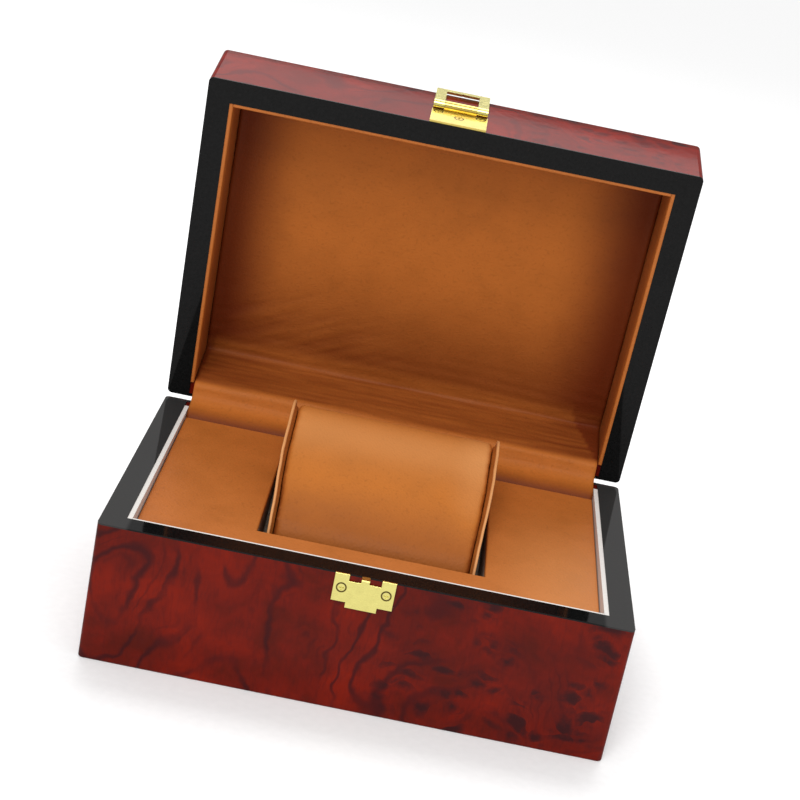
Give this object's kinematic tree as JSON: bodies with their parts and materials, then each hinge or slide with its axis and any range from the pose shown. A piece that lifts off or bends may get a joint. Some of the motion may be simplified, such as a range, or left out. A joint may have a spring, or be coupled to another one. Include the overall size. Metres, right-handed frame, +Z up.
{
  "type": "watch box",
  "caption": "Hinged wooden watch presentation box: burl-veneered case, leather-lined lid, tray with a strap pillow, brass hasp and catch.",
  "frame": {"origin": "centre of the base, in the plane the box stands on", "axes": "+Z up, +X to the right seen from the front, the front with the catch faces -Y; the lid is modelled open"},
  "size_m": [0.2, 0.1834, 0.2073],
  "materials": {
    "burl_veneer": "gloss",
    "black_lacquer": "gloss",
    "plain_board": "matte",
    "cream_card": "matte",
    "box_card": "matte",
    "tan_leather": "satin",
    "foam": "matte",
    "black_felt": "matte",
    "gold_brass": "polished"
  },
  "bodies": {
    "body": {"base_felt": "black_felt", "body_back_board": "burl_veneer", "body_bottom_board": "plain_board", "body_front_board": "burl_veneer", "body_left_board": "burl_veneer", "body_liner_back": "cream_card", "body_liner_front": "cream_card", "body_liner_left": "cream_card", "body_liner_right": "cream_card", "body_right_board": "burl_veneer", "body_rim_lipping": "black_lacquer", "catch_plate": "gold_brass", "catch_screws": "gold_brass", "floor_card": "box_card", "hinge_body_screws": "gold_brass", "hinge_flap": "tan_leather", "hinge_left_body_leaf": "gold_brass", "hinge_left_pin": "gold_brass", "hinge_right_body_leaf": "gold_brass", "hinge_right_pin": "gold_brass", "pocket_back_wall": "box_card", "pocket_floor": "box_card", "pocket_front_wall": "box_card", "pocket_left_wall": "box_card", "pocket_right_wall": "box_card", "tray_deck": "tan_leather", "tray_support_left": "foam", "tray_support_right": "foam"},
    "lid": {"hasp_base": "gold_brass", "hasp_pin": "gold_brass", "hasp_screws": "gold_brass", "hinge_left_lid_leaf": "gold_brass", "hinge_lid_screws": "gold_brass", "hinge_right_lid_leaf": "gold_brass", "lid_back_board": "burl_veneer", "lid_front_board": "burl_veneer", "lid_left_board": "burl_veneer", "lid_liner_front": "tan_leather", "lid_liner_left": "tan_leather", "lid_liner_right": "tan_leather", "lid_panel_card": "box_card", "lid_panel_pad": "tan_leather", "lid_right_board": "burl_veneer", "lid_rim_lipping": "black_lacquer", "lid_top_board": "burl_veneer"},
    "hasp": {"hasp_loop": "gold_brass"},
    "pillow": {"pillow_band": "tan_leather", "pillow_core": "foam", "pillow_left_cap": "tan_leather", "pillow_right_cap": "tan_leather"}
  },
  "joints": [
    {"name": "lid_hinge", "type": "hinge", "parent": "body", "child": "lid", "pos_m": [0, 0.0738, 0.0555], "axis": [1, 0, 0], "range_deg": [0, 80], "deforming": ["hinge_flap"]},
    {"name": "hasp_hinge", "type": "hinge", "parent": "lid", "child": "hasp", "pos_m": [0, 0.06381, 0.20433], "axis": [1, 0, 0], "range_deg": [0, 183]},
    {"name": "pillow_lift", "type": "slide", "parent": "body", "child": "pillow", "axis": [0, 0, 1], "range_m": [0, 0.0035]}
  ]
}
